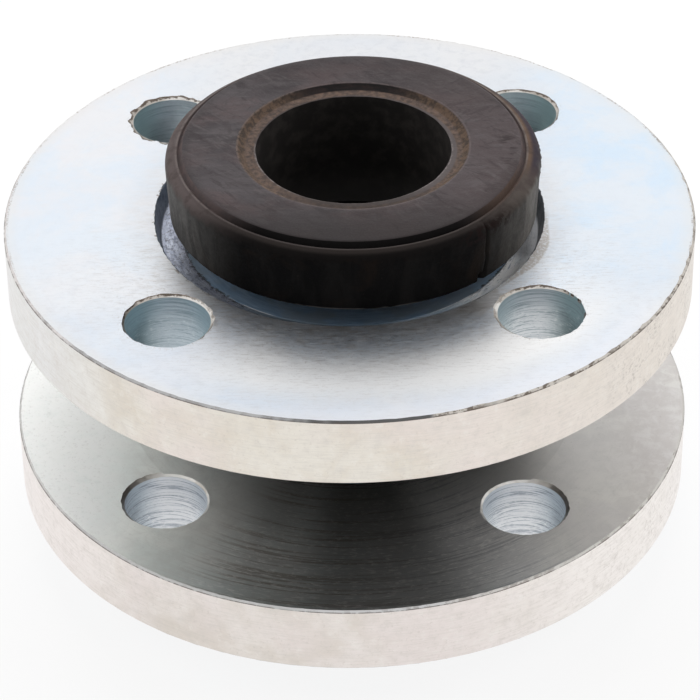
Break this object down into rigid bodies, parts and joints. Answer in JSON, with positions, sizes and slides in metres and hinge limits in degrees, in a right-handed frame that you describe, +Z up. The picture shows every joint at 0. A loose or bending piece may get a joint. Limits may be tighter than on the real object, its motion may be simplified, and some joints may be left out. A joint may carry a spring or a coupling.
{
  "type": "rubber expansion joint",
  "caption": "Moulded rubber bellows with one arch between two loose drilled steel flanges; takes up movement between two pipe ends.",
  "frame": {"origin": "middle of the lower bead's sealing face, which the joint stands on", "axes": "+Z runs up along the pipe; the upper flange's bolt holes lie at 45 degrees to X and Y"},
  "size_m": [0.15, 0.15, 0.095],
  "materials": {
    "black_rubber": "moulded black rubber, lightly dusty",
    "zinc_steel": "turned steel, zinc plated with a pale blue tint"
  },
  "bodies": {
    "rubber_body": {"rubber_bellows": "black_rubber"},
    "top_flange": {"upper_flange": "zinc_steel"},
    "bottom_flange": {"lower_flange": "zinc_steel"}
  },
  "joints": [
    {"name": "axial_travel", "type": "slide", "parent": "rubber_body", "child": "top_flange", "axis": [0, 0, 1], "range_m": [-0.01, 0.006], "stiffness_N_per_m": 50000, "springref_m": 0.0003, "deforming": ["rubber_bellows"]},
    {"name": "lower_flange_swivel", "type": "hinge", "parent": "rubber_body", "child": "bottom_flange", "pos_m": [0, 0, 0.0196], "axis": [0, 0, 1], "continuous": true}
  ]
}
